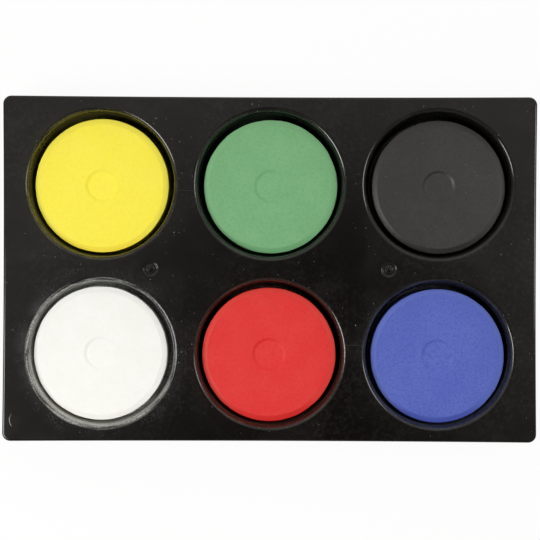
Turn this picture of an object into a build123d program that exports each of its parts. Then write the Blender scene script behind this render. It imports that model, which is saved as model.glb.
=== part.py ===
from build123d import *

import os
from math import cos, radians, tan

# Six-well paint tray with loose round paint blocks.
# Millimetres. The origin is under the middle of the tray, at the level of the table.
# +X runs along the long side, +Y towards the row of yellow, green and black, +Z up.

# Paint blocks: a common round pressed block
block_diameter = 57.0
block_height = 19.0
block_bevel_width = 2.3
block_bevel_depth = 0.7
dimple_diameter = 14.2
dimple_depth = 0.55
dimple_slope_width = 1.2

# Wells
well_columns = 3
well_rows = 2
well_draft = 3.0
well_lip_radius = 1.6
well_floor_fillet = 1.2
block_clearance = 1.2
block_depth_below_deck = 5.0

# Tray moulding
tray_length = 230.0
tray_width = 150.0
skirt_draft = 4.0
skirt_corner_radius = 5.2
side_bow = 0.4
wall = 1.5
floor_thickness = 1.5
deck_edge_radius = 0.8
cup_foot_radius = 1.2

# The deck left outside the wells, at the ends and along the sides,
# as a multiple of the deck left between two neighbouring wells
end_margin_share = 1.12
side_margin_share = 0.63

# A rounded edge takes this share of the narrowest strip of deck at most
rounding_share = 0.45

# Gate marks: two shallow round recesses, each with the cut stub of a sprue in it
gate_spacing = 101.2
gate_diameter = 5.8
gate_depth = 0.5
gate_edge_radius = 0.3
stub_diameter = 3.1
stub_height = 0.3
stub_edge_radius = 0.25
nub_diameter = 1.2
nub_height = 0.15

# The colours from left to right, the front row first
colours = ["white", "red", "blue", "yellow", "green", "black"]

# How each block happens to lie in its well: its shift along X and Y as a share of the clearance
shift_shares = {
    "white": (-0.45, -0.10),
    "red": (-0.20, -0.35),
    "blue": (0.10, -0.70),
    "yellow": (-0.10, -0.50),
    "green": (0.25, -0.65),
    "black": (0.35, -0.65),
}

# Sizes that follow from the ones above
tray_height = floor_thickness + block_height + block_depth_below_deck
deck_underside = tray_height - wall
skirt_slope = tan(radians(skirt_draft))
well_slope = tan(radians(well_draft))
well_depth = tray_height - floor_thickness
well_floor_radius = block_diameter / 2 + block_clearance
well_mouth_radius = well_floor_radius + well_depth * well_slope
cup_wall = wall / cos(radians(well_draft))

# The wells share the deck evenly, so they follow the tray's length and width
free_length = tray_length - 2 * tray_height * skirt_slope - 2 * well_mouth_radius * well_columns
free_width = tray_width - 2 * tray_height * skirt_slope - 2 * well_mouth_radius * well_rows
strip_x = free_length / (well_columns - 1 + 2 * end_margin_share)
strip_y = free_width / (well_rows - 1 + 2 * side_margin_share)
well_pitch_x = 2 * well_mouth_radius + strip_x
well_pitch_y = 2 * well_mouth_radius + strip_y
end_margin = strip_x * end_margin_share - side_bow
side_margin = strip_y * side_margin_share - side_bow
largest_rounding = rounding_share * min(strip_x, strip_y, end_margin, side_margin)

# Cuts run this far past the face they open, and edges are found to within this distance
cut_overrun = 1.0
found_within = 0.01


def well_centre(place):
    """The middle of one well, counted along the front row and then along the back row."""
    column = place % well_columns
    row = place // well_columns
    x = (column - (well_columns - 1) / 2) * well_pitch_x
    y = (row - (well_rows - 1) / 2) * well_pitch_y
    return x, y


def upright_plane(x, y, z):
    """A plane through an upright axis: its own x runs along +X, its own y along +Z."""
    return Plane(origin=(x, y, z), x_dir=(1, 0, 0), z_dir=(0, -1, 0))


def upright_axis(x, y):
    return Axis((x, y, 0), (0, 0, 1))


def tray_outline(height, inset):
    """The tray's outline at one height: rounded corners, and sides that bow in a little."""
    drawn_in = height * skirt_slope + inset
    x = tray_length / 2 - drawn_in
    y = tray_width / 2 - drawn_in
    with BuildSketch(Plane.XY.offset(height)) as outline:
        with BuildLine():
            ThreePointArc((-x, -y), (0, -y + side_bow), (x, -y))
            ThreePointArc((x, -y), (x - side_bow, 0), (x, y))
            ThreePointArc((x, y), (0, y - side_bow), (-x, y))
            ThreePointArc((-x, y), (-x + side_bow, 0), (-x, -y))
        make_face()
        fillet(outline.vertices(), skirt_corner_radius - drawn_in)
    return outline.sketch


def lowest_outer_corner(profile):
    """The corner farthest out at the foot of an upright profile, whose own y is the height."""
    return profile.vertices().sort_by(Axis.Y)[:2].sort_by(Axis.X)[-1]


def cup_profile(x, y):
    """Half of a cup's outside, from the table up into the deck."""
    foot = well_floor_radius + cup_wall - floor_thickness * well_slope
    top = deck_underside + wall / 2
    with BuildSketch(upright_plane(x, y, 0)) as profile:
        with BuildLine():
            Polyline((0, 0), (foot, 0), (foot + top * well_slope, top), (0, top), close=True)
        make_face()
        fillet(lowest_outer_corner(profile), cup_foot_radius)
    return profile.sketch


def well_profile(x, y):
    """Half of a well's hollow, from its floor to a little above the deck."""
    top = well_depth + cut_overrun
    mouth = well_floor_radius + top * well_slope
    with BuildSketch(upright_plane(x, y, floor_thickness)) as profile:
        with BuildLine():
            Polyline((0, 0), (well_floor_radius, 0), (mouth, top), (0, top), close=True)
        make_face()
        fillet(lowest_outer_corner(profile), well_floor_fillet)
    return profile.sketch


def round_edges(part, height, radius):
    """The circular edges of one radius at one height."""
    level = part.edges().filter_by(GeomType.CIRCLE)
    level = level.filter_by_position(Axis.Z, height - found_within, height + found_within)
    return level.filter_by(lambda edge: abs(edge.radius - radius) < found_within)


def gate_discs(height, diameter):
    """Two discs at one height, one on each gate mark."""
    with BuildSketch(Plane.XY.offset(height)) as discs:
        with GridLocations(gate_spacing, 1, 2, 1):
            Circle(diameter / 2)
    return discs.sketch


# The tray is one moulding: a deck with a leaning skirt, hollow below,
# and six cups that hang from the deck and stand on the table with the skirt
well_places = [well_centre(place) for place in range(well_columns * well_rows)]
with BuildPart() as palette_tray:
    add(tray_outline(0, 0))
    add(tray_outline(tray_height, 0))
    loft(ruled=True)
    deck_edge = palette_tray.faces().sort_by(Axis.Z)[-1].edges()
    fillet(deck_edge, min(deck_edge_radius, largest_rounding))
    add(tray_outline(0, wall))
    add(tray_outline(deck_underside, wall))
    loft(ruled=True, mode=Mode.SUBTRACT)
    for x, y in well_places:
        revolve(cup_profile(x, y), axis=upright_axis(x, y))
    for x, y in well_places:
        revolve(well_profile(x, y), axis=upright_axis(x, y), mode=Mode.SUBTRACT)
    lips = round_edges(palette_tray, tray_height, well_mouth_radius)
    fillet(lips, min(well_lip_radius, largest_rounding))

    # Gate marks
    gate_floor = tray_height - gate_depth
    stub_top = gate_floor + stub_height
    extrude(gate_discs(gate_floor, gate_diameter), amount=gate_depth + cut_overrun, mode=Mode.SUBTRACT)
    fillet(round_edges(palette_tray, tray_height, gate_diameter / 2), gate_edge_radius)
    extrude(gate_discs(gate_floor, stub_diameter), amount=stub_height)
    fillet(round_edges(palette_tray, stub_top, stub_diameter / 2), stub_edge_radius)
    extrude(gate_discs(stub_top, nub_diameter), amount=nub_height)
palette_tray.part.label = "palette_tray"


def make_block(colour, x, y):
    """One pressed block, standing on the floor of the well at x and y."""
    x += shift_shares[colour][0] * block_clearance
    y += shift_shares[colour][1] * block_clearance
    radius = block_diameter / 2
    flat = radius - block_bevel_width
    dimple = dimple_diameter / 2
    with BuildPart() as block:
        with BuildSketch(upright_plane(x, y, floor_thickness)) as profile:
            with BuildLine():
                Polyline(
                    (0, 0),
                    (flat, 0),
                    (radius, block_bevel_depth),
                    (radius, block_height - block_bevel_depth),
                    (flat, block_height),
                    (dimple, block_height),
                    (dimple - dimple_slope_width, block_height - dimple_depth),
                    (0, block_height - dimple_depth),
                    close=True,
                )
            make_face()
        revolve(axis=upright_axis(x, y))
    block.part.label = "paint_block_" + colour
    return block.part


os.makedirs("parts", exist_ok=True)
export_step(palette_tray.part, "parts/palette_tray.step")
for colour, (x, y) in zip(colours, well_places):
    paint_block = make_block(colour, x, y)
    export_step(paint_block, "parts/" + paint_block.label + ".step")

size = palette_tray.part.bounding_box().size
print("tray", round(size.X, 2), "x", round(size.Y, 2), "x", round(size.Z, 2), "mm")
print("tray volume", round(palette_tray.part.volume), "mm3, valid:", palette_tray.part.is_valid)
print("well pitch", round(well_pitch_x, 2), "x", round(well_pitch_y, 2), "mm")
print("rounded edges", round(largest_rounding, 2), "mm at most")
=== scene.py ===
# %% [markdown]
# # A six-well paint tray with round paint blocks
# The object is a shallow tray of glossy black plastic. Six round wells hold six loose
# blocks of pressed water paint: yellow, green and black behind, white, red and blue in front.
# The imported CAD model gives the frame: where each body is, how it moves and how large it is.
# This script makes the finished surfaces around that frame, in metres.

from functools import reduce
from math import cos, pi, radians, sin, tan
from types import SimpleNamespace

import bmesh
import bpy
import numpy as np
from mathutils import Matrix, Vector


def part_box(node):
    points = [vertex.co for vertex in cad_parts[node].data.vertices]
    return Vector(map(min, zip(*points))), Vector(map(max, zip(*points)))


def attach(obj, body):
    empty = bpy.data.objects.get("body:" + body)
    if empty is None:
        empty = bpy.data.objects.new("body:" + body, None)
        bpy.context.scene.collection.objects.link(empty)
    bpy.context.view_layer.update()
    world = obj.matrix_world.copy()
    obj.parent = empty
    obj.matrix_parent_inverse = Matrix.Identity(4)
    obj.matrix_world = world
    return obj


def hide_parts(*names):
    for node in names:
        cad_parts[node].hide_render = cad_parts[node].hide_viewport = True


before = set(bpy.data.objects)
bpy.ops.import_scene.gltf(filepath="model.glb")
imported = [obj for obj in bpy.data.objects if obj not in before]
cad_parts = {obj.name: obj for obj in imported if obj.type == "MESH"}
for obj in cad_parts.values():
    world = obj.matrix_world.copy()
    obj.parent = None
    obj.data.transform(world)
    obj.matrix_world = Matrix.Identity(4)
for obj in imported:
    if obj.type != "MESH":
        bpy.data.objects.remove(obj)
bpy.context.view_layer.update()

# %% [markdown]
# ## Sizes
# The CAD boxes give the tray's height and the place of each block. What a box cannot say,
# such as a wall's lean or the round of an edge, is written here once, as the moulder would.
# A flat face next to a rounded edge starts 1.2 radii away from the edge.

# %% Sizes of the tray
mm = 0.001
tray_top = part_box("palette_tray")[1].z
foot_half_length = 115 * mm
foot_half_width = 75 * mm
foot_corner_radius = 5.2 * mm
skirt_slope = tan(radians(4))
well_lean = radians(3)
side_bow = 0.4 * mm
wall = 1.5 * mm
floor_top = 1.5 * mm
deck_underside = tray_top - wall
deck_edge_radius = 0.8 * mm
past_rounding = 1.2
well_pitch_x = 71.51 * mm
well_pitch_y = 71.92 * mm
well_slope = tan(well_lean)
well_floor_radius = 29.7 * mm
well_mouth_radius = well_floor_radius + (tray_top - floor_top) * well_slope
well_floor_fillet = 1.2 * mm
well_lip_radius = 1.6 * mm
cup_foot_radius = 1.2 * mm
skirt_foot_radius = 0.3 * mm
inner_corner_radius = 0.4 * mm
inner_skirt_flat = 0.5 * mm
cup_top_flat = 0.6 * mm
print("tray", round(2 * foot_half_length / mm), "x", round(2 * foot_half_width / mm), "x",
      round(tray_top / mm, 1), "mm")

# %% Sizes of the gate marks
gate_x = 50.6 * mm
gate_depth = 0.5 * mm
gate_floor_radius = 2.75 * mm
gate_mouth_radius = 2.95 * mm
gate_rim_flat = 0.65 * mm
stub_height = 0.3 * mm
stub_radius = 1.5 * mm
stub_foot_radius = 1.6 * mm
nub_height = 0.15 * mm
nub_radius = 0.6 * mm
nub_foot_radius = 0.65 * mm
print("gate marks", round(2 * gate_x / mm, 1), "mm apart")

# %% [markdown]
# ## From a grid of points to a mesh
# Every surface below is a grid: one parameter goes across, the other goes around.
# numpy works out all the points at once, and four neighbouring points make a face.
# Blender then merges the points that coincide, so that seams and middles are closed.


# %% Grid and mesh helpers
merge_distance = 0.0005 * mm


def grid_faces(across, around, closed, first):
    """Faces of a grid whose points are numbered row by row from first.
    Each joins row j to row j+1 and column i to column i+1; closed joins the last column to column 0."""
    columns = around if closed else around - 1
    j, i = np.meshgrid(np.arange(across - 1), np.arange(columns), indexing="ij")
    here = first + j * around + i
    beside = first + j * around + (i + 1) % around
    return np.stack([here, here + around, beside + around, beside], axis=-1).reshape(-1, 4)


def piece_from_grids(name, grids, sharp_from):
    """One object from grids (points, closed), where points[j, i] = (x, y, z).
    The step across and then the step around turn anticlockwise as seen from outside."""
    points, faces, first = [], [], 0
    for grid, closed in grids:
        points.append(grid.reshape(-1, 3))
        faces.append(grid_faces(grid.shape[0], grid.shape[1], closed, first))
        first += grid.shape[0] * grid.shape[1]
    mesh = bpy.data.meshes.new(name)
    mesh.from_pydata(np.concatenate(points).tolist(), [], np.concatenate(faces).tolist())
    weld = bmesh.new()
    weld.from_mesh(mesh)
    bmesh.ops.remove_doubles(weld, verts=weld.verts, dist=merge_distance)
    open_edges = sum(len(edge.link_faces) != 2 for edge in weld.edges)
    weld.to_mesh(mesh)
    weld.free()
    mesh.shade_smooth()
    mesh.set_sharp_from_angle(angle=sharp_from)
    piece = bpy.data.objects.new(name, mesh)
    bpy.context.scene.collection.objects.link(piece)
    print(name, len(mesh.vertices), "points,", len(mesh.polygons), "faces,", open_edges, "open edges")
    return piece


# %% [markdown]
# ## Sections with round corners
# A moulded or pressed wall is drawn in section as straight runs joined by arcs.
# The section is written as a few corners, each with its radius, and the arcs are worked out.


# %% Section helpers
def rounded_section(corners, steps):
    """Points along a section of corners (across, height, radius). The arc at a corner starts and
    ends radius / tan(half the angle between its runs) from it, around a centre on their bisector."""
    place = np.array([corner[:2] for corner in corners], float)
    out = []
    for k, (_, _, radius) in enumerate(corners):
        if radius == 0:
            out.append(place[k:k + 1])
            continue
        back = place[k - 1] - place[k]
        ahead = place[k + 1] - place[k]
        back /= np.linalg.norm(back)
        ahead /= np.linalg.norm(ahead)
        half = np.arccos(np.clip(back @ ahead, -1, 1)) / 2
        middle = (back + ahead) / np.linalg.norm(back + ahead)
        centre = place[k] + middle * radius / sin(half)
        start = place[k] + back * radius / tan(half) - centre
        end = place[k] + ahead * radius / tan(half) - centre
        turn = pi - 2 * half
        share = np.linspace(0, 1, steps + 1)[:, None]
        out.append(centre + (np.sin((1 - share) * turn) * start + np.sin(share * turn) * end) / sin(turn))
    return np.concatenate(out)


def with_runs(section, longest):
    """The same section with points added evenly along each run, none farther apart than longest."""
    out = [section[:1]]
    for a, b in zip(section[:-1], section[1:]):
        count = max(1, int(np.ceil(np.linalg.norm(b - a) / longest)))
        out.append(a + (b - a) * np.linspace(0, 1, count + 1)[1:, None])
    return np.concatenate(out)


# %% [markdown]
# ## The tray's cells
# The deck is a flat sheet with six large holes, which is awkward as one grid. So the sheet is
# divided into six cells, one for each well. In a cell, straight lines run outward from the
# well's axis: over its floor, up its wall, over its lip and across the deck to the cell's
# border. The cells repeat by mirroring, so only a corner cell and a middle cell are worked out.


# %% Borders of the cells
cell_edge_x = well_pitch_x / 2
core_x = foot_half_length - foot_corner_radius
core_y = foot_half_width - foot_corner_radius
gate_patch = 5.2 * mm
end_steps = 40
turn_steps = 12
side_steps = 48
cross_steps = 40
front_steps = 60
gate_steps = 14
left_of_gate_steps = 8
right_of_gate_steps = 40


def line(start, end, steps):
    """Points from start towards end in equal steps, the last one left out."""
    share = np.arange(steps)[:, None] / steps
    return np.array(start) * (1 - share) + np.array(end) * share


def end_side(reach):
    """The right-hand end from its middle up to the corner. The core line bows in by
    side_bow (1 - (y / core_y)^2), and the edge lies reach outside it."""
    y = line((0,), (core_y,), end_steps)
    return np.hstack([core_x - side_bow * (1 - (y / core_y) ** 2) + reach, y])


def corner_turn(reach):
    """A quarter circle of radius reach around the corner of the core line."""
    turn = line((0,), (pi / 2,), turn_steps)
    return np.hstack([core_x + reach * np.cos(turn), core_y + reach * np.sin(turn)])


def long_side(start_x, end_x, steps, reach):
    """A stretch of the long side, whose core line bows in by side_bow (1 - (x / core_x)^2)."""
    x = line((start_x,), (end_x,), steps)
    return np.hstack([x, core_y - side_bow * (1 - (x / core_x) ** 2) + reach])


def side_point(x, reach):
    """The single point of the long side at x."""
    return long_side(x, x, 1, reach)[0]


def corner_border(reach, with_gate):
    """The border of the right back cell, anticlockwise from its lower left corner. With a gate
    mark, it steps back around the square patch that the mark is made in."""
    low_left = (cell_edge_x, 0)
    low_right = (end_side(reach)[0, 0], 0)
    front = [line(low_left, low_right, front_steps)]
    if with_gate:
        gate_left = (gate_x - gate_patch, 0)
        gate_back = (gate_x, gate_patch)
        gate_right = (gate_x + gate_patch, 0)
        front = [line(low_left, gate_left, left_of_gate_steps),
                 line(gate_left, gate_back, gate_steps),
                 line(gate_back, gate_right, gate_steps),
                 line(gate_right, low_right, right_of_gate_steps)]
    return np.concatenate(front + [end_side(reach), corner_turn(reach),
                                   long_side(core_x, cell_edge_x, side_steps, reach),
                                   line(side_point(cell_edge_x, reach), low_left, cross_steps)])


def middle_border(reach):
    """The border of the middle back cell, anticlockwise from its lower left corner."""
    low_left, low_right = (-cell_edge_x, 0), (cell_edge_x, 0)
    top_left, top_right = side_point(-cell_edge_x, reach), side_point(cell_edge_x, reach)
    return np.concatenate([line(low_left, low_right, front_steps),
                           line(low_right, top_right, cross_steps),
                           long_side(cell_edge_x, -cell_edge_x, side_steps, reach),
                           line(top_left, low_left, cross_steps)])


def gate_border():
    """The border of the patch around a gate mark, a square that stands on one corner."""
    right, back = (gate_x + gate_patch, 0), (gate_x, gate_patch)
    left, front = (gate_x - gate_patch, 0), (gate_x, -gate_patch)
    return np.concatenate([line(right, back, gate_steps), line(back, left, gate_steps),
                           line(left, front, gate_steps), line(front, right, gate_steps)])


# %% Cells, mirroring and the skirt
def cell(centre, border, section, flat_steps):
    """Rows follow the section (radius, height) outward along the direction from the centre to
    each border point, and then flat_steps straight steps reach the border at the last height."""
    centre = np.array(centre)
    toward = border - centre
    direction = toward / np.linalg.norm(toward, axis=1, keepdims=True)
    rings = centre + section[:, :1, None] * direction
    share = np.linspace(0, 1, flat_steps + 1)[1:, None, None]
    flat = rings[-1] * (1 - share) + border * share
    plan = np.concatenate([rings, flat])
    height = np.concatenate([section[:, 1], np.full(flat_steps, section[-1, 1])])
    return np.dstack([plan, np.broadcast_to(height[:, None], plan.shape[:2])])


def mirrored(grid, flip_x, flip_y):
    """The grid mirrored in x, in y or in both. One mirroring turns it inside out,
    so its columns are then taken in the other order."""
    out = grid * (-1 if flip_x else 1, -1 if flip_y else 1, 1)
    return out[:, ::-1] if flip_x != flip_y else out


def quarter_line(reach):
    """From the middle of the right-hand end around the corner to the middle of the long side."""
    return np.concatenate([end_side(reach), corner_turn(reach),
                           long_side(core_x, cell_edge_x, side_steps, reach),
                           long_side(cell_edge_x, 0, side_steps // 2, reach),
                           side_point(0, reach)[None]])


def skirt_quarter(section):
    """The section (reach, height) carried along a quarter of the tray: each of its points
    becomes a row, the quarter line at that reach and that height."""
    rows = []
    for reach, height in section:
        plan = quarter_line(reach)
        rows.append(np.column_stack([plan, np.full(len(plan), height)]))
    return np.stack(rows)


# %% [markdown]
# ## The tray
# The real tray is one injection moulding, so its thickness is nearly the same everywhere.
# The deck, wells and gate marks are the top skin. The underside has its own cells with
# the cups' outsides, and the skirt joins the two skins. Together they are one closed surface.


# %% The sections of the tray
def skirt_reach(height):
    """How far the skirt's outside lies from the core line: foot_corner_radius - height skirt_slope."""
    return foot_corner_radius - height * skirt_slope


deck_reach = skirt_reach(tray_top) - past_rounding * deck_edge_radius
under_reach = skirt_reach(deck_underside) - wall - inner_skirt_flat
well_section = with_runs(rounded_section([
    (0, floor_top, 0),
    (well_floor_radius, floor_top, well_floor_fillet),
    (well_mouth_radius, tray_top, well_lip_radius),
    (well_mouth_radius + past_rounding * well_lip_radius, tray_top, 0),
], steps=10), longest=6 * mm)
cup_radius = well_floor_radius + wall / cos(well_lean) - floor_top * well_slope
cup_top_radius = cup_radius + deck_underside * well_slope
cup_section = with_runs(rounded_section([
    (0, 0, 0),
    (cup_radius, 0, cup_foot_radius),
    (cup_top_radius, deck_underside, inner_corner_radius),
    (cup_top_radius + cup_top_flat, deck_underside, 0),
], steps=4), longest=9 * mm)
skirt_section = with_runs(rounded_section([
    (deck_reach, tray_top, 0),
    (skirt_reach(tray_top), tray_top, deck_edge_radius),
    (skirt_reach(0), 0, skirt_foot_radius),
    (skirt_reach(0) - wall, 0, skirt_foot_radius),
    (skirt_reach(deck_underside) - wall, deck_underside, inner_corner_radius),
    (under_reach, deck_underside, 0),
], steps=6), longest=6 * mm)
gate_floor = tray_top - gate_depth
stub_top = gate_floor + stub_height
nub_top = stub_top + nub_height
gate_section = rounded_section([
    (0, nub_top, 0),
    (nub_radius, nub_top, 0.1 * mm),
    (nub_foot_radius, stub_top, 0.06 * mm),
    (stub_radius, stub_top, 0.2 * mm),
    (stub_foot_radius, gate_floor, 0.12 * mm),
    (gate_floor_radius, gate_floor, 0.25 * mm),
    (gate_mouth_radius, tray_top, 0.45 * mm),
    (gate_mouth_radius + gate_rim_flat, tray_top, 0),
], steps=5)
print("sections of", len(well_section), len(cup_section), len(skirt_section), len(gate_section), "points")


# %% Put the tray together
def tray_surface():
    """One closed surface. Each cell, the skirt's quarter and the gate mark are worked out once and
    mirrored to their other places; the cells below have their columns turned to face down."""
    corner_centre = (well_pitch_x, well_pitch_y / 2)
    middle_centre = (0, well_pitch_y / 2)
    top_border = corner_border(deck_reach, with_gate=True)
    corner_top = cell(corner_centre, top_border, well_section, flat_steps=4)
    middle_top = cell(middle_centre, middle_border(deck_reach), well_section, flat_steps=4)
    under_border = corner_border(under_reach, with_gate=False)
    corner_under = cell(corner_centre, under_border, cup_section, flat_steps=3)[:, ::-1]
    middle_under = cell(middle_centre, middle_border(under_reach), cup_section, flat_steps=3)[:, ::-1]
    skirt = skirt_quarter(skirt_section)
    gate = cell((gate_x, 0), gate_border(), gate_section, flat_steps=2)
    sides = (False, True)
    grids = [(mirrored(part, flip_x, flip_y), closed)
             for part, closed in ((corner_top, True), (corner_under, True), (skirt, False))
             for flip_x in sides for flip_y in sides]
    grids += [(mirrored(part, False, flip_y), True)
              for part in (middle_top, middle_under) for flip_y in sides]
    grids += [(mirrored(gate, flip_x, False), True) for flip_x in sides]
    return piece_from_grids("tray_moulding", grids, sharp_from=radians(50))


tray = tray_surface()
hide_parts("palette_tray")
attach(tray, "tray")

# %% [markdown]
# ## Unevenness
# Nothing pressed is perfectly even. A few sine waves in directions and lengths drawn from a
# seeded generator add up to a smooth random field, the same on every run, which moves the
# points of a block by hundredths of a millimetre.


# %% Smooth random field
def waves(x, y, length, seed, count=20):
    """sum over k of sin(kx x + ky y + phase) / sqrt(count), with wave lengths of 0.6 to 1.6 lengths."""
    rng = np.random.default_rng(seed)
    heading = rng.uniform(0, 2 * pi, count)
    number = 2 * pi / (length * rng.uniform(0.6, 1.6, count))
    phase = rng.uniform(0, 2 * pi, count)
    out = np.zeros_like(x)
    for k in range(count):
        out += np.sin(number[k] * (np.cos(heading[k]) * x + np.sin(heading[k]) * y) + phase[k])
    return out / np.sqrt(count)


# %% [markdown]
# ## The paint blocks
# A block is dry paint pressed in a steel die: a flat face, a bevel around it that frees the
# block from the die, and a shallow round dimple from the ejector pin. It is a section turned
# around its axis. The edges are then worn a little, and small chips are pushed in. The wear
# around the rim is read from the random field along a circle, so that it closes on itself.

# %% Sizes of a block
block_radius = 28.5 * mm
bevel_width = 2.3 * mm
bevel_depth = 0.7 * mm
dimple_radius = 7.1 * mm
dimple_slope_width = 1.2 * mm
dimple_depth = 0.55 * mm
dimple_rounding = 0.7 * mm
bevel_rounding = 0.9 * mm
rim_rounding = 0.25 * mm
columns_around = 288
print("block", round(2 * block_radius / mm), "mm across")

# %% Unevenness of a block
rim_circle = 40 * mm
rim_wave = 14 * mm
rim_wear = 0.05 * mm
rim_wear_change = 0.04 * mm
sag_wave = 9 * mm
sag = 0.02 * mm
grain_wave = 1.7 * mm
grain_height = 0.006 * mm


def block_section(low, high):
    """From the middle of the top face out over the bevel, down the side and in to the middle below."""
    return rounded_section([
        (0, high - dimple_depth, 0),
        (dimple_radius - dimple_slope_width, high - dimple_depth, dimple_rounding),
        (dimple_radius, high, dimple_rounding),
        (block_radius - bevel_width, high, bevel_rounding),
        (block_radius, high - bevel_depth, rim_rounding),
        (block_radius, low + bevel_depth, rim_rounding),
        (block_radius - bevel_width, low, bevel_rounding),
        (0, low, 0),
    ], steps=5)


def paint_block(colour, seed, chips):
    """The section turned around the block's axis. Then the radius shrinks by the wear near the rim,
    the faces sag and the top roughens by the random fields, and each chip sinks
    depth exp(-(distance / width)^2). A chip is (angle in degrees, radius, width, depth in mm)."""
    low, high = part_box("paint_block_" + colour)
    centre = (low + high) / 2
    section = with_runs(block_section(low.z, high.z), longest=0.55 * mm)
    angle = np.linspace(0, 2 * pi, columns_around, endpoint=False)
    radius = section[:, :1] * np.ones(columns_around)
    height = section[:, 1:] * np.ones(columns_around)
    rim = np.clip((radius - (block_radius - bevel_width)) / bevel_width, 0, 1)
    around_rim = waves(rim_circle * np.cos(angle), rim_circle * np.sin(angle), rim_wave, seed)
    wear = rim_wear + rim_wear_change * around_rim
    radius = radius - rim * np.clip(wear, 0, None)
    x = centre.x + radius * np.cos(angle)
    y = centre.y + radius * np.sin(angle)
    on_top = height > centre.z
    height = height - sag * np.abs(waves(x, y, sag_wave, seed + 1)) * (1 - rim)
    height = height - grain_height * (1 + waves(x, y, grain_wave, seed + 2)) * on_top
    for chip_angle, chip_radius, width, depth in chips:
        chip_x = centre.x + chip_radius * mm * cos(radians(chip_angle))
        chip_y = centre.y + chip_radius * mm * sin(radians(chip_angle))
        away = np.hypot(x - chip_x, y - chip_y)
        height = height - depth * mm * np.exp(-(away / (width * mm)) ** 2) * on_top
    grid = np.dstack([x, y, height])
    piece = piece_from_grids("pressed_" + colour, [(grid, True)], sharp_from=radians(60))
    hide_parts("paint_block_" + colour)
    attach(piece, colour + "_block")
    return piece


# %% Press the six blocks
block_chips = {
    "yellow": [(228, 27.4, 0.5, 0.10)],
    "green": [(168, 7.4, 0.30, 0.35), (112, 24.0, 0.5, 0.06), (188, 27.7, 0.35, 0.25)],
    "black": [(250, 24.5, 0.6, 0.05), (165, 12.0, 0.4, 0.05)],
    "white": [(330, 27.2, 0.6, 0.08)],
    "red": [(140, 5.0, 0.32, 0.30), (20, 26.6, 0.6, 0.10)],
    "blue": [(75, 20.0, 0.5, 0.06), (310, 27.0, 0.5, 0.10)],
}
seed_step = 10
blocks = {}
for number, (colour, chips) in enumerate(block_chips.items(), 1):
    blocks[colour] = paint_block(colour, seed=seed_step * number, chips=chips)

# %% [markdown]
# ## Writing materials as nodes
# A material is a graph of nodes. Small helpers keep the graphs readable: one sets or links a
# socket, one adds a node with its settings, and one does a single step of arithmetic. The
# others put these together into sums, soft steps, noise and specks.


# %% Nodes and their sockets
def feed(tree, socket, value):
    """Links the socket to a node's output, or sets the plain number, vector or colour on it."""
    if isinstance(value, bpy.types.NodeSocket):
        tree.links.new(value, socket)
    elif isinstance(value, tuple) and len(value) == 3 and socket.type == "RGBA":
        socket.default_value = (*value, 1)
    else:
        socket.default_value = value


def add_node(tree, kind, inputs, **settings):
    """A node of one kind with its settings and inputs; inputs are given by name or number."""
    made = tree.nodes.new(kind)
    for name, value in settings.items():
        setattr(made, name, value)
    for name, value in inputs.items():
        feed(tree, made.inputs[name], value)
    return made


def bare_tree(owner):
    """The node tree of a material or a world, switched on and emptied."""
    owner.use_nodes = True
    owner.node_tree.nodes.clear()
    return owner.node_tree


def new_material(name):
    """A material with its shader, and the Object coordinates that its patterns read."""
    material = bpy.data.materials.new(name)
    tree = bare_tree(material)
    shader = add_node(tree, "ShaderNodeBsdfPrincipled", {})
    add_node(tree, "ShaderNodeOutputMaterial", {"Surface": shader.outputs["BSDF"]})
    place = add_node(tree, "ShaderNodeTexCoord", {}).outputs["Object"]
    return material, tree, shader, place


def give(piece, material):
    """Makes this the piece's only material."""
    piece.data.materials.clear()
    piece.data.materials.append(material)


# %% Arithmetic on nodes
def calc(tree, operation, *values):
    """The result of one arithmetic node."""
    return add_node(tree, "ShaderNodeMath", dict(enumerate(values)), operation=operation).outputs[0]


def plus(tree, *values):
    """The sum of the values."""
    return reduce(lambda first, second: calc(tree, "ADD", first, second), values)


def minus(tree, first, second):
    """first - second."""
    return calc(tree, "SUBTRACT", first, second)


def times(tree, *values):
    """The product of the values."""
    return reduce(lambda first, second: calc(tree, "MULTIPLY", first, second), values)


def limited(tree, value, low, high):
    """The value where it lies between low and high, and otherwise the nearer of the two."""
    return calc(tree, "MINIMUM", calc(tree, "MAXIMUM", value, low), high)


def distance(tree, x, y):
    """sqrt(x^2 + y^2)."""
    return calc(tree, "SQRT", plus(tree, calc(tree, "POWER", x, 2), calc(tree, "POWER", y, 2)))


def between(tree, share, low, high):
    """low + share (high - low), where low and high are plain numbers."""
    return plus(tree, low, times(tree, share, high - low))


def mixed(tree, share, first, second):
    """first (1 - share) + second share, where all three come from nodes."""
    return plus(tree, times(tree, first, minus(tree, 1, share)), times(tree, second, share))


# %% Soft steps
def ease(tree, value, start, end):
    """Smoothly from 0 at start to 1 at end, where the end may also be the lower one."""
    made = add_node(tree, "ShaderNodeMapRange", {"Value": value, "From Min": start, "From Max": end},
                    interpolation_type="SMOOTHSTEP")
    return made.outputs["Result"]


def band(tree, value, rise, fall):
    """Smoothly from 0 to 1 over the rise (start, end), and back to 0 over the fall (start, end)."""
    return times(tree, ease(tree, value, rise[0], rise[1]), ease(tree, value, fall[1], fall[0]))


def stripe(tree, value, middle, full, faded):
    """1 where the value is within full of the middle, and smoothly down to 0 at faded from it."""
    away = calc(tree, "ABSOLUTE", minus(tree, value, middle))
    return ease(tree, away, faded, full)


# %% Colours and patterns
def srgb(red, green, blue):
    """The linear colour of three values from 0 to 255 as a screen shows them."""
    share = np.array([red, green, blue]) / 255
    linear = np.where(share <= 0.04045, share / 12.92, ((share + 0.055) / 1.055) ** 2.4)
    return tuple(float(v) for v in linear)


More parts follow.
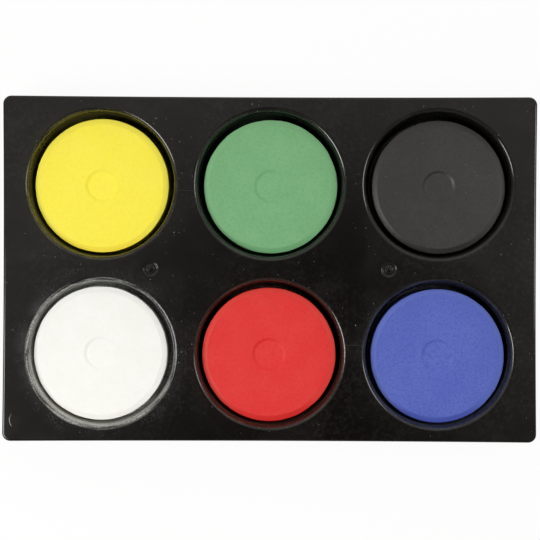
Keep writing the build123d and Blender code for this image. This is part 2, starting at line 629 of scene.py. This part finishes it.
def blend(tree, share, first, second):
    """The colour first (1 - share) + second share."""
    made = add_node(tree, "ShaderNodeMix", {}, data_type="RGBA")
    share_input, first_input, second_input = made.inputs[0], made.inputs[6], made.inputs[7]
    feed(tree, share_input, share)
    feed(tree, first_input, first)
    feed(tree, second_input, second)
    return made.outputs[2]


def noise(tree, place, scale, detail=3, distortion=0.0):
    """A noise texture's value, with its scale in waves per metre."""
    made = add_node(tree, "ShaderNodeTexNoise", {"Vector": place, "Scale": scale, "Detail": detail,
                                                 "Distortion": distortion})
    return made.outputs["Fac"]


def specks(tree, place, spacing, size, kept):
    """1 inside round specks. Of the cells, each spacing wide, the share kept has a speck whose
    radius is at most size: a Voronoi texture gives the distance to the cell's point, and a
    random colour, whose red picks the cells and whose green scales the specks."""
    cells = add_node(tree, "ShaderNodeTexVoronoi", {"Vector": place, "Scale": 1 / spacing})
    drawn = add_node(tree, "ShaderNodeSeparateColor", {"Color": cells.outputs["Color"]})
    edge = times(tree, drawn.outputs["Green"], size / spacing)
    near = calc(tree, "LESS_THAN", cells.outputs["Distance"], edge)
    return times(tree, near, calc(tree, "LESS_THAN", drawn.outputs["Red"], kept))


# %% [markdown]
# ## Pressed paint
# Dry paint is chalk, gum and pigment pressed hard. It is dead matt with a fine grain, a few
# unmixed specks and pores. The bevel and the sharp rim have rubbed against the well and are
# paler, partly as wear and partly as painted light that lifts their shade. The front of the
# bevel is painted shade, a little deeper in colour.
# The colour written is the colour that shows in plain white light.

# %% The paint material
bevel_start = block_radius - bevel_width
cloud_share = 0.4
speck_share = 0.6
# The bevel and the rim turn paler as wear and as painted light; the front of the bevel turns deeper as
# painted shade.
bevel_rub_and_light = 0.75
rim_rub_and_light = 0.9
painted_front_shade = 0.85


def pressed_paint(colour, centre, face, deep, pale, speck, specked, grain, roughness):
    """Blends the face colour with a paler one in clouds and a deeper one in grains, adds specks,
    turns the bevel and the rim paler as wear and painted light, deepens the front of the bevel
    as painted shade, and raises a fine grain with pores. The grain is (size, share)."""
    material, tree, shader, place = new_material("pressed_" + colour)
    grain_size, grain_share = grain
    clouds = ease(tree, noise(tree, place, scale=90, detail=4), 0.35, 0.7)
    grainy = noise(tree, place, scale=1 / grain_size, detail=4)
    shade = blend(tree, times(tree, clouds, cloud_share), face, pale)
    shade = blend(tree, times(tree, ease(tree, grainy, 0.42, 0.68), grain_share), shade, deep)
    fine = specks(tree, place, spacing=1.1 * mm, size=0.2 * mm, kept=specked)
    shade = blend(tree, times(tree, fine, speck_share), shade, speck)

    # Wear and painted light, by the distance from the block's axis
    x, y, _ = add_node(tree, "ShaderNodeSeparateXYZ", {"Vector": place}).outputs
    block_y = minus(tree, y, centre.y)
    radius = distance(tree, minus(tree, x, centre.x), block_y)
    on_bevel = ease(tree, radius, bevel_start - 0.1 * mm, bevel_start + 0.4 * mm)
    on_rim = ease(tree, radius, block_radius - 0.6 * mm, block_radius - 0.2 * mm)
    rubbed = ease(tree, noise(tree, place, scale=400, detail=2), 0.35, 0.6)
    # Wear and painted light: the bevel and the patchy rim are blended towards the paler colour.
    worn_and_lightened = calc(tree, "MAXIMUM", times(tree, on_bevel, bevel_rub_and_light), times(tree, on_rim, rubbed, rim_rub_and_light))
    front_in_shade = ease(tree, block_y, -17 * mm, -26 * mm)
    shade = blend(tree, worn_and_lightened, shade, pale)
    # Painted shade: the front of the bevel is blended towards the deeper colour.
    shade = blend(tree, times(tree, on_bevel, front_in_shade, painted_front_shade), shade, deep)
    feed(tree, shader.inputs["Base Color"], shade)
    feed(tree, shader.inputs["Roughness"], roughness)
    feed(tree, shader.inputs["Specular IOR Level"], 0.4)

    # Grain and pores
    pores = specks(tree, place, spacing=0.8 * mm, size=0.16 * mm, kept=0.25)
    chalky = times(tree, noise(tree, place, scale=3000, detail=2), 0.3)
    height = minus(tree, plus(tree, grainy, chalky), pores)
    bump = add_node(tree, "ShaderNodeBump", {"Height": height, "Strength": 0.25, "Distance": 0.05 * mm})
    feed(tree, shader.inputs["Normal"], bump.outputs["Normal"])
    return material


# %% Paint each block
paints = {
    "yellow": dict(face=srgb(253, 238, 68), deep=srgb(250, 227, 58), pale=srgb(254, 241, 86),
                   speck=srgb(243, 214, 50), specked=0.06, grain=(1.6 * mm, 0.4), roughness=0.62),
    "green": dict(face=srgb(117, 174, 120), deep=srgb(104, 163, 110), pale=srgb(128, 184, 131),
                  speck=srgb(70, 118, 78), specked=0.16, grain=(1.1 * mm, 0.5), roughness=0.6),
    "black": dict(face=srgb(46, 44, 42), deep=srgb(39, 37, 36), pale=srgb(56, 54, 52),
                  speck=srgb(124, 122, 118), specked=0.10, grain=(1.3 * mm, 0.6), roughness=0.42),
    "white": dict(face=srgb(247, 247, 242), deep=srgb(244, 244, 239), pale=srgb(252, 252, 249),
                  speck=srgb(232, 231, 226), specked=0.06, grain=(1.4 * mm, 0.5), roughness=0.65),
    "red": dict(face=srgb(226, 39, 36), deep=srgb(216, 28, 28), pale=srgb(232, 64, 55),
                speck=srgb(176, 34, 36), specked=0.12, grain=(1.2 * mm, 0.55), roughness=0.58),
    "blue": dict(face=srgb(84, 102, 193), deep=srgb(64, 80, 173), pale=srgb(98, 115, 200),
                 speck=srgb(54, 66, 134), specked=0.26, grain=(0.85 * mm, 0.75), roughness=0.6),
}
for colour, piece in blocks.items():
    low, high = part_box("paint_block_" + colour)
    give(piece, pressed_paint(colour, (low + high) / 2, **paints[colour]))
print("paints:", ", ".join(paints))

# %% [markdown]
# ## Black plastic with paint dust
# The tray is polished black plastic: almost no colour of its own, and a mirror-like skin that
# shows the room. Paint dust clings inside every well and drifts onto the deck around it,
# most of all around the white block. The nearest well's axis is found by arithmetic on the
# Object coordinates, so one set of nodes serves all six wells.


# %% A point of the tray and its nearest well
def around_well(tree, place):
    """Where a point lies. column is x / pitch, rounded and kept between -1 and 1. well_x and
    well_y count from the nearest well's axis, and radius = sqrt(well_x^2 + well_y^2). The angle
    turn around the axis is mirrored in the front row."""
    x, y, z = add_node(tree, "ShaderNodeSeparateXYZ", {"Vector": place}).outputs
    column = limited(tree, calc(tree, "ROUND", calc(tree, "DIVIDE", x, well_pitch_x)), -1, 1)
    well_x = minus(tree, x, times(tree, column, well_pitch_x))
    past_row = minus(tree, calc(tree, "ABSOLUTE", y), well_pitch_y / 2)
    return SimpleNamespace(place=place, x=x, y=y, z=z, column=column, well_x=well_x,
                           well_y=times(tree, past_row, calc(tree, "SIGN", y)),
                           radius=distance(tree, well_x, past_row),
                           turn=calc(tree, "ARCTAN2", past_row, well_x))


# %% [markdown]
# The dust has its block's own colour, and some wells hold more of it than others. A colour
# ramp with three flat steps works as a small table: x picks the column, the colour is the
# dust's, and the alpha is how much of it there is.

# %% Colour and amount of the dust, from left to right
back_dust = ((srgb(172, 168, 88), 0.62), (srgb(106, 130, 106), 0.42), (srgb(92, 90, 86), 0.27))
front_dust = ((srgb(232, 232, 226), 1.60), (srgb(158, 102, 88), 0.52), (srgb(110, 117, 142), 0.60))


def dust_in_row(tree, x, wells):
    """The colour and the amount of dust in one row of wells, in the column where x lies."""
    half_row = len(wells) / 2 * well_pitch_x
    share = add_node(tree, "ShaderNodeMapRange", {"Value": x, "From Min": -half_row, "From Max": half_row})
    ramp = add_node(tree, "ShaderNodeValToRGB", {"Fac": share.outputs["Result"]})
    ramp.color_ramp.interpolation = "CONSTANT"
    ramp.color_ramp.elements.new(0.5)
    for k, (colour, amount) in enumerate(wells):
        ramp.color_ramp.elements[k].position = k / len(wells)
        ramp.color_ramp.elements[k].color = (*colour, amount)
    return ramp.outputs["Color"], ramp.outputs["Alpha"]


def dust_of_block(tree, spot):
    """The colour and the amount of dust around the nearest block."""
    back_row = calc(tree, "GREATER_THAN", spot.y, 0)
    back_colour, back_amount = dust_in_row(tree, spot.x, back_dust)
    front_colour, front_amount = dust_in_row(tree, spot.x, front_dust)
    colour = blend(tree, back_row, front_colour, back_colour)
    return colour, mixed(tree, back_row, front_amount, back_amount)


# %% [markdown]
# On the walls the dust was rubbed on by the block and smeared by a brush, so it lies in
# streaks. It could be painted as an image, but a noise in the well's own round coordinates
# needs no image and follows the wall. The outside and the foot of a cup are the same plastic
# and see no paint, so a mask keeps the dust off them.

# %% Dust on the walls of the wells
streak_share = 0.30
layer_share = 0.30
streaks_around = 1.6
streaks_up = 700
streaks_out = 900
streaks_apart = 7
wall_starts = (27.5 * mm, 28.8 * mm)
wall_ends = (31.3 * mm, 32.7 * mm)


def inside_well(tree, spot):
    """1 on the well's own side of its wall and on the deck, 0 on the outside and foot of the cup.
    The wall's radius is well_floor_radius + (z - floor_top) well_slope."""
    wall_radius = plus(tree, well_floor_radius, times(tree, minus(tree, spot.z, floor_top), well_slope))
    before_wall = ease(tree, minus(tree, spot.radius, wall_radius), 1.0 * mm, 0.5 * mm)
    in_deck = ease(tree, spot.z, deck_underside + 0.02 * mm, deck_underside + 0.2 * mm)
    above_foot = ease(tree, spot.z, 1.2 * mm, 1.4 * mm)
    return times(tree, calc(tree, "MAXIMUM", before_wall, in_deck), above_foot)


def wall_dust(tree, spot, powder):
    """Streaks that run around the wall, and a layer that is thicker low down and towards the
    front. Both are thinner towards the right, and the powder breaks them up. The streaks are
    a noise over (turn, height, radius), moved on from one column of wells to the next."""
    along_wall = add_node(tree, "ShaderNodeCombineXYZ", {
        "X": times(tree, spot.turn, streaks_around),
        "Y": times(tree, spot.z, streaks_up),
        "Z": plus(tree, times(tree, spot.radius, streaks_out), times(tree, spot.column, streaks_apart)),
    })
    streaky = noise(tree, along_wall.outputs["Vector"], scale=1.5, detail=5, distortion=0.3)
    streaks = ease(tree, streaky, 0.36, 0.68)
    low_down = ease(tree, spot.z, 26 * mm, 16 * mm)
    to_front = between(tree, ease(tree, spot.well_y, 8 * mm, -24 * mm), 0.9, 2.45)
    to_right = between(tree, ease(tree, spot.well_x, -8 * mm, 22 * mm), 1.08, 0.65)
    dusty = plus(tree, times(tree, streaks, streak_share), times(tree, low_down, to_front, layer_share))
    on_wall = band(tree, spot.radius, wall_starts, wall_ends)
    return times(tree, on_wall, inside_well(tree, spot), to_right, dusty, powder)


# %% [markdown]
# Loose powder thins out with the distance from a well. A fine noise makes its grains and a
# coarse one the patches that they lie in, so their product is speckled and uneven.

# %% Loose powder on the deck and under the blocks
drift_share = 0.065
drift_reach = 42 * mm
haze_share = 0.035
haze_reach = 38 * mm
fallen_share = 0.22


def loose_dust(tree, spot):
    """A speckled drift around each well, a fainter haze on its left, and the powder that has
    fallen under the block onto the well's floor."""
    speckled = ease(tree, noise(tree, spot.place, scale=2400), 0.52, 0.74)
    patches = ease(tree, noise(tree, spot.place, scale=130, detail=4, distortion=0.6), 0.45, 0.72)
    clouds = ease(tree, noise(tree, spot.place, scale=80), 0.25, 0.75)
    uneven = times(tree, clouds, plus(tree, 0.5, speckled))
    drift = times(tree, ease(tree, spot.radius, drift_reach, 32 * mm), speckled, patches)
    to_left = between(tree, ease(tree, spot.well_x, -15 * mm, -31 * mm), 0.08, 1.28)
    haze = times(tree, ease(tree, spot.radius, haze_reach, 31.5 * mm), uneven, to_left)
    in_deck = ease(tree, spot.z, deck_underside + 0.1 * mm, deck_underside + 0.8 * mm)
    spread = plus(tree, times(tree, drift, drift_share), times(tree, haze, haze_share))
    on_deck = times(tree, spread, in_deck)
    near_floor = band(tree, spot.z, (0.6 * mm, 1.2 * mm), (1.8 * mm, 3.0 * mm))
    under_block = ease(tree, spot.radius, 29.5 * mm, 27.5 * mm)
    return plus(tree, on_deck, times(tree, under_block, near_floor, uneven, fallen_share))


# %% [markdown]
# A moulding carries small marks, and beside them a painted highlight is drawn near a corner.
# Each is drawn here as a stripe with soft edges, from the distance to a circle or to a straight
# line, which stays sharp at any size of picture.

# %% Marks in the deck, and a painted highlight
# Painted highlight: a pale crescent near the front left corner, the left part of a circle.
glint_centre = (-106.25 * mm, -64.2 * mm)
glint_radius = 3.75 * mm
glint_left_part = (-2.5 * mm, -3.1 * mm)
glint_width = (0.06 * mm, 0.22 * mm)
glint_share = 5
weld_lines = ((-35.5 * mm, 33.1 * mm, 4.4 * mm), (35.5 * mm, -32.2 * mm, 4.0 * mm))
weld_width = (0.05 * mm, 0.24 * mm)
gate_rings = (2.8 * mm, 1.6 * mm)
ring_width = (0.08 * mm, 0.36 * mm)


def deck_marks_and_glint(tree, spot, powder):
    """A painted highlight near a corner, the left part of a thin circle, two faint weld lines
    (x, y, half length) where the melt met, and a little dust in the corners of the gate marks."""
    # Painted highlight: the left part of a thin circle, made pale.
    glint_x = minus(tree, spot.x, glint_centre[0])
    glint_y = minus(tree, spot.y, glint_centre[1])
    on_circle = stripe(tree, distance(tree, glint_x, glint_y), glint_radius, *glint_width)
    marks = times(tree, on_circle, ease(tree, glint_x, *glint_left_part), glint_share)
    for middle_x, middle_y, half_length in weld_lines:
        along = stripe(tree, spot.x, middle_x, 0.8 * half_length, half_length)
        across = stripe(tree, spot.y, middle_y, *weld_width)
        marks = plus(tree, marks, times(tree, along, across))
    from_gate = distance(tree, minus(tree, calc(tree, "ABSOLUTE", spot.x), gate_x), spot.y)
    for ring_radius in gate_rings:
        ring = stripe(tree, from_gate, ring_radius, *ring_width)
        marks = plus(tree, marks, times(tree, ring, powder))
    return marks


# %% [markdown]
# Handling leaves a film so thin that it only lifts the black a little, and the air leaves
# specks, which are picked out of the cells of a Voronoi texture.

# %% Specks, and the film left by handling
film_share = 0.016
grit_share = 0.024
sifted_share = 0.04
strewn_specks = 0.30
near_specks = 0.25
dirt_reach = 46 * mm


def fine_dirt(tree, spot):
    """The share of loose specks, which lie in strewn patches and near the wells, and the share of
    the film, which is a wiped haze plus patches of grit plus powder sifted near the wells."""
    near_well = ease(tree, spot.radius, dirt_reach, 33 * mm)
    strewn = ease(tree, noise(tree, spot.place, scale=45), 0.45, 0.65)
    small = specks(tree, spot.place, spacing=2.6 * mm, size=0.26 * mm, kept=0.20)
    tiny = specks(tree, spot.place, spacing=1.1 * mm, size=0.18 * mm, kept=0.12)
    many = plus(tree, times(tree, strewn, strewn_specks), times(tree, near_well, near_specks))
    speck_amount = times(tree, calc(tree, "MAXIMUM", small, tiny), many)
    wiped = ease(tree, noise(tree, spot.place, scale=38, detail=6, distortion=0.8), 0.42, 0.75)
    grit = ease(tree, noise(tree, spot.place, scale=650, detail=4), 0.42, 0.70)
    gritty = ease(tree, noise(tree, spot.place, scale=30), 0.35, 0.65)
    sifted = ease(tree, noise(tree, spot.place, scale=1900), 0.50, 0.72)
    film = plus(tree, times(tree, wiped, film_share), times(tree, grit, grit_share, gritty),
                times(tree, sifted, near_well, strewn, sifted_share))
    return speck_amount, film


# %% [markdown]
# Last, the layers are blended over one another. Black plastic is seen chiefly by what it
# mirrors, so its roughness matters more than its colour: dust dulls it, and a faint ripple
# from the mould bends the mirror images.

# %% The plastic itself
bare_plastic = (0.0030, 0.0022, 0.0016)
film_colour = (0.30, 0.28, 0.26)
speck_colour = (0.62, 0.60, 0.56)
mark_and_glint_share = 0.02
polish = 0.09
dust_dulls = 1.1
hands_dull = 0.06
swell_height = 8
dust_height = 2


def black_plastic():
    """Bare plastic with the film, the dust, the specks and the marks, among them a painted
    highlight, laid over it in turn. The skin is polished, duller where dust lies, and very
    slightly rippled."""
    material, tree, shader, place = new_material("black_plastic")
    spot = around_well(tree, place)
    powder = plus(tree, 0.5, ease(tree, noise(tree, place, scale=1500), 0.36, 0.64))
    dust_colour, amount = dust_of_block(tree, spot)
    dust = times(tree, amount, plus(tree, wall_dust(tree, spot, powder), loose_dust(tree, spot)))
    marks = deck_marks_and_glint(tree, spot, powder)
    speck_amount, film = fine_dirt(tree, spot)
    shade = blend(tree, film, bare_plastic, film_colour)
    shade = blend(tree, dust, shade, dust_colour)
    shade = blend(tree, speck_amount, shade, speck_colour)
    # The marks include the painted highlight near the corner.
    shade = blend(tree, times(tree, marks, mark_and_glint_share), shade, speck_colour)
    feed(tree, shader.inputs["Base Color"], shade)
    handled = ease(tree, noise(tree, place, scale=75, detail=4), 0.4, 0.8)
    dull = plus(tree, times(tree, dust, dust_dulls), times(tree, handled, hands_dull))
    feed(tree, shader.inputs["Roughness"], plus(tree, polish, dull))
    feed(tree, shader.inputs["IOR"], 1.5)
    swell = noise(tree, place, scale=25, detail=2)
    ripple = plus(tree, times(tree, swell, swell_height), noise(tree, place, scale=900),
                  times(tree, plus(tree, dust, marks), dust_height))
    bump = add_node(tree, "ShaderNodeBump", {"Height": ripple, "Strength": 0.25, "Distance": 0.02 * mm})
    feed(tree, shader.inputs["Normal"], bump.outputs["Normal"])
    print("black plastic of", len(tree.nodes), "nodes")
    return material


give(tray, black_plastic())

# %% [markdown]
# ## Floor, light and camera
# The tray lies on a white sheet and is seen from straight above, as on a copy stand. For the
# rays of the camera and of mirror images, and for no others, the sheet is mostly a plain
# white glow, so it is seen as white without more light on the tray. The small rest is
# ordinary paper and keeps the tray's shadow.

# %% The floor
floor_half = 3.0
floor_height = -0.2 * mm
glow_share = 0.93


def white_paper():
    """Diffuse paper, mixed with a white glow where a camera ray or a mirrored ray meets it."""
    material = bpy.data.materials.new("white_floor")
    tree = bare_tree(material)
    path = add_node(tree, "ShaderNodeLightPath", {})
    seen = calc(tree, "MAXIMUM", path.outputs["Is Camera Ray"], path.outputs["Is Glossy Ray"])
    paper = add_node(tree, "ShaderNodeBsdfDiffuse", {"Color": (0.93, 0.93, 0.93)})
    glow = add_node(tree, "ShaderNodeEmission", {"Color": (1.0, 1.0, 1.0), "Strength": 1.0})
    surface = add_node(tree, "ShaderNodeMixShader", {
        0: times(tree, seen, glow_share), 1: paper.outputs[0], 2: glow.outputs[0]})
    add_node(tree, "ShaderNodeOutputMaterial", {"Surface": surface.outputs[0]})
    return material


floor_corners = ((-floor_half, -floor_half), (floor_half, -floor_half),
                 (floor_half, floor_half), (-floor_half, floor_half))
floor_mesh = bpy.data.meshes.new("floor")
floor_mesh.from_pydata([(x, y, floor_height) for x, y in floor_corners], [], [(0, 1, 2, 3)])
floor = bpy.data.objects.new("floor", floor_mesh)
bpy.context.scene.collection.objects.link(floor)
give(floor, white_paper())
print("floor", 2 * floor_half, "m wide")

# %% [markdown]
# The black plastic mirrors the room, so the room is drawn with care. The ceiling is grey,
# darkest above the tray where the camera hangs and dimmer towards the front. The walls are
# lighter behind than in front. Where a direction points is told by its lean: x / z and y / z.

# %% The room
dark_spot_x = 0.022
dark_spot_squeeze = 1.6
ceiling_dark, ceiling_lit = 0.055, 0.535
wall_dark, wall_lit = 0.22, 0.56
front_dimming = 4.0
front_least = 0.4
least_rise = 0.02
least_lean = 0.001


def room_light(tree):
    """The light from a direction (x, y, z): the ceiling's where the lean is small, the wall's
    where it is large. The ceiling grows lighter with the distance from its dark spot, and
    towards the front it is dimmed by 1 + front_dimming y / z, down to front_least."""
    direction = add_node(tree, "ShaderNodeTexCoord", {}).outputs["Generated"]
    x, y, z = add_node(tree, "ShaderNodeSeparateXYZ", {"Vector": direction}).outputs
    rise = calc(tree, "MAXIMUM", z, least_rise)
    lean_x = calc(tree, "DIVIDE", x, rise)
    lean_y = calc(tree, "DIVIDE", y, rise)
    behind_spot = times(tree, calc(tree, "MAXIMUM", lean_y, 0), dark_spot_squeeze)
    from_spot = distance(tree, minus(tree, lean_x, dark_spot_x), behind_spot)
    lit = between(tree, ease(tree, from_spot, 0.0, 0.20), ceiling_dark, ceiling_lit)
    dimmer = limited(tree, plus(tree, 1.0, times(tree, lean_y, front_dimming)), front_least, 1.0)
    lean = distance(tree, lean_x, lean_y)
    backward = calc(tree, "DIVIDE", lean_y, calc(tree, "MAXIMUM", lean, least_lean))
    wall_light = between(tree, ease(tree, backward, -0.3, 0.7), wall_dark, wall_lit)
    return mixed(tree, ease(tree, lean, 0.2, 0.55), times(tree, lit, dimmer), wall_light)


def studio():
    """A world that lights with the room, and that the camera sees as plain white."""
    world = bpy.data.worlds.new("studio")
    tree = bare_tree(world)
    strength = room_light(tree)
    room = add_node(tree, "ShaderNodeBackground", {"Color": (1.0, 0.965, 0.92), "Strength": strength})
    backdrop = add_node(tree, "ShaderNodeBackground", {"Color": (1.0, 1.0, 1.0), "Strength": 1.0})
    path = add_node(tree, "ShaderNodeLightPath", {})
    surface = add_node(tree, "ShaderNodeMixShader", {
        0: path.outputs["Is Camera Ray"], 1: room.outputs[0], 2: backdrop.outputs[0]})
    add_node(tree, "ShaderNodeOutputWorld", {"Surface": surface.outputs[0]})
    print("room of", len(tree.nodes), "nodes")
    return world


bpy.context.scene.world = studio()

# %% [markdown]
# A soft light stands on the left, a weaker one on the right, and a large faint one behind.
# Their mirror images make the highlights on the lips of the wells.


# %% The lights
def soft_light(name, place, size, power):
    """A rectangular light that faces the middle of the tray and is not itself in the picture."""
    lamp = bpy.data.lights.new(name, "AREA")
    lamp.shape = "RECTANGLE"
    lamp.size, lamp.size_y = size
    lamp.energy = power
    holder = bpy.data.objects.new(name, lamp)
    holder.location = place
    holder.rotation_euler = holder.location.to_track_quat("Z", "Y").to_euler()
    holder.visible_camera = False
    bpy.context.scene.collection.objects.link(holder)
    print(name, power, "W")


soft_light("light_left", place=(-0.40, -0.15, 0.62), size=(0.26, 0.30), power=2.8)
soft_light("light_right", place=(0.40, 0.05, 0.62), size=(0.18, 0.24), power=0.95)
soft_light("light_back", place=(-0.10, 0.95, 1.05), size=(2.20, 1.40), power=2.0)

# %% [markdown]
# The camera hangs 750 mm above the deck. Its lens follows from how much of the deck's plane
# the picture is wide: lens / sensor width = height / seen width.

# %% The camera
camera_height = 750 * mm
seen_width = 228.8 * mm
picture_middle = (0.13 * mm, -0.38 * mm)
picture_turn = radians(0.2)
camera_data = bpy.data.cameras.new("camera")
camera_data.sensor_width = 36
camera_data.lens = camera_data.sensor_width * camera_height / seen_width
camera_data.clip_start = 0.02
camera = bpy.data.objects.new("camera", camera_data)
camera.location = (*picture_middle, tray_top + camera_height)
camera.rotation_euler = (0, 0, picture_turn)
bpy.context.scene.collection.objects.link(camera)
bpy.context.scene.camera = camera
bpy.context.scene.view_settings.view_transform = "Standard"
print("lens", round(camera_data.lens, 1), "mm")
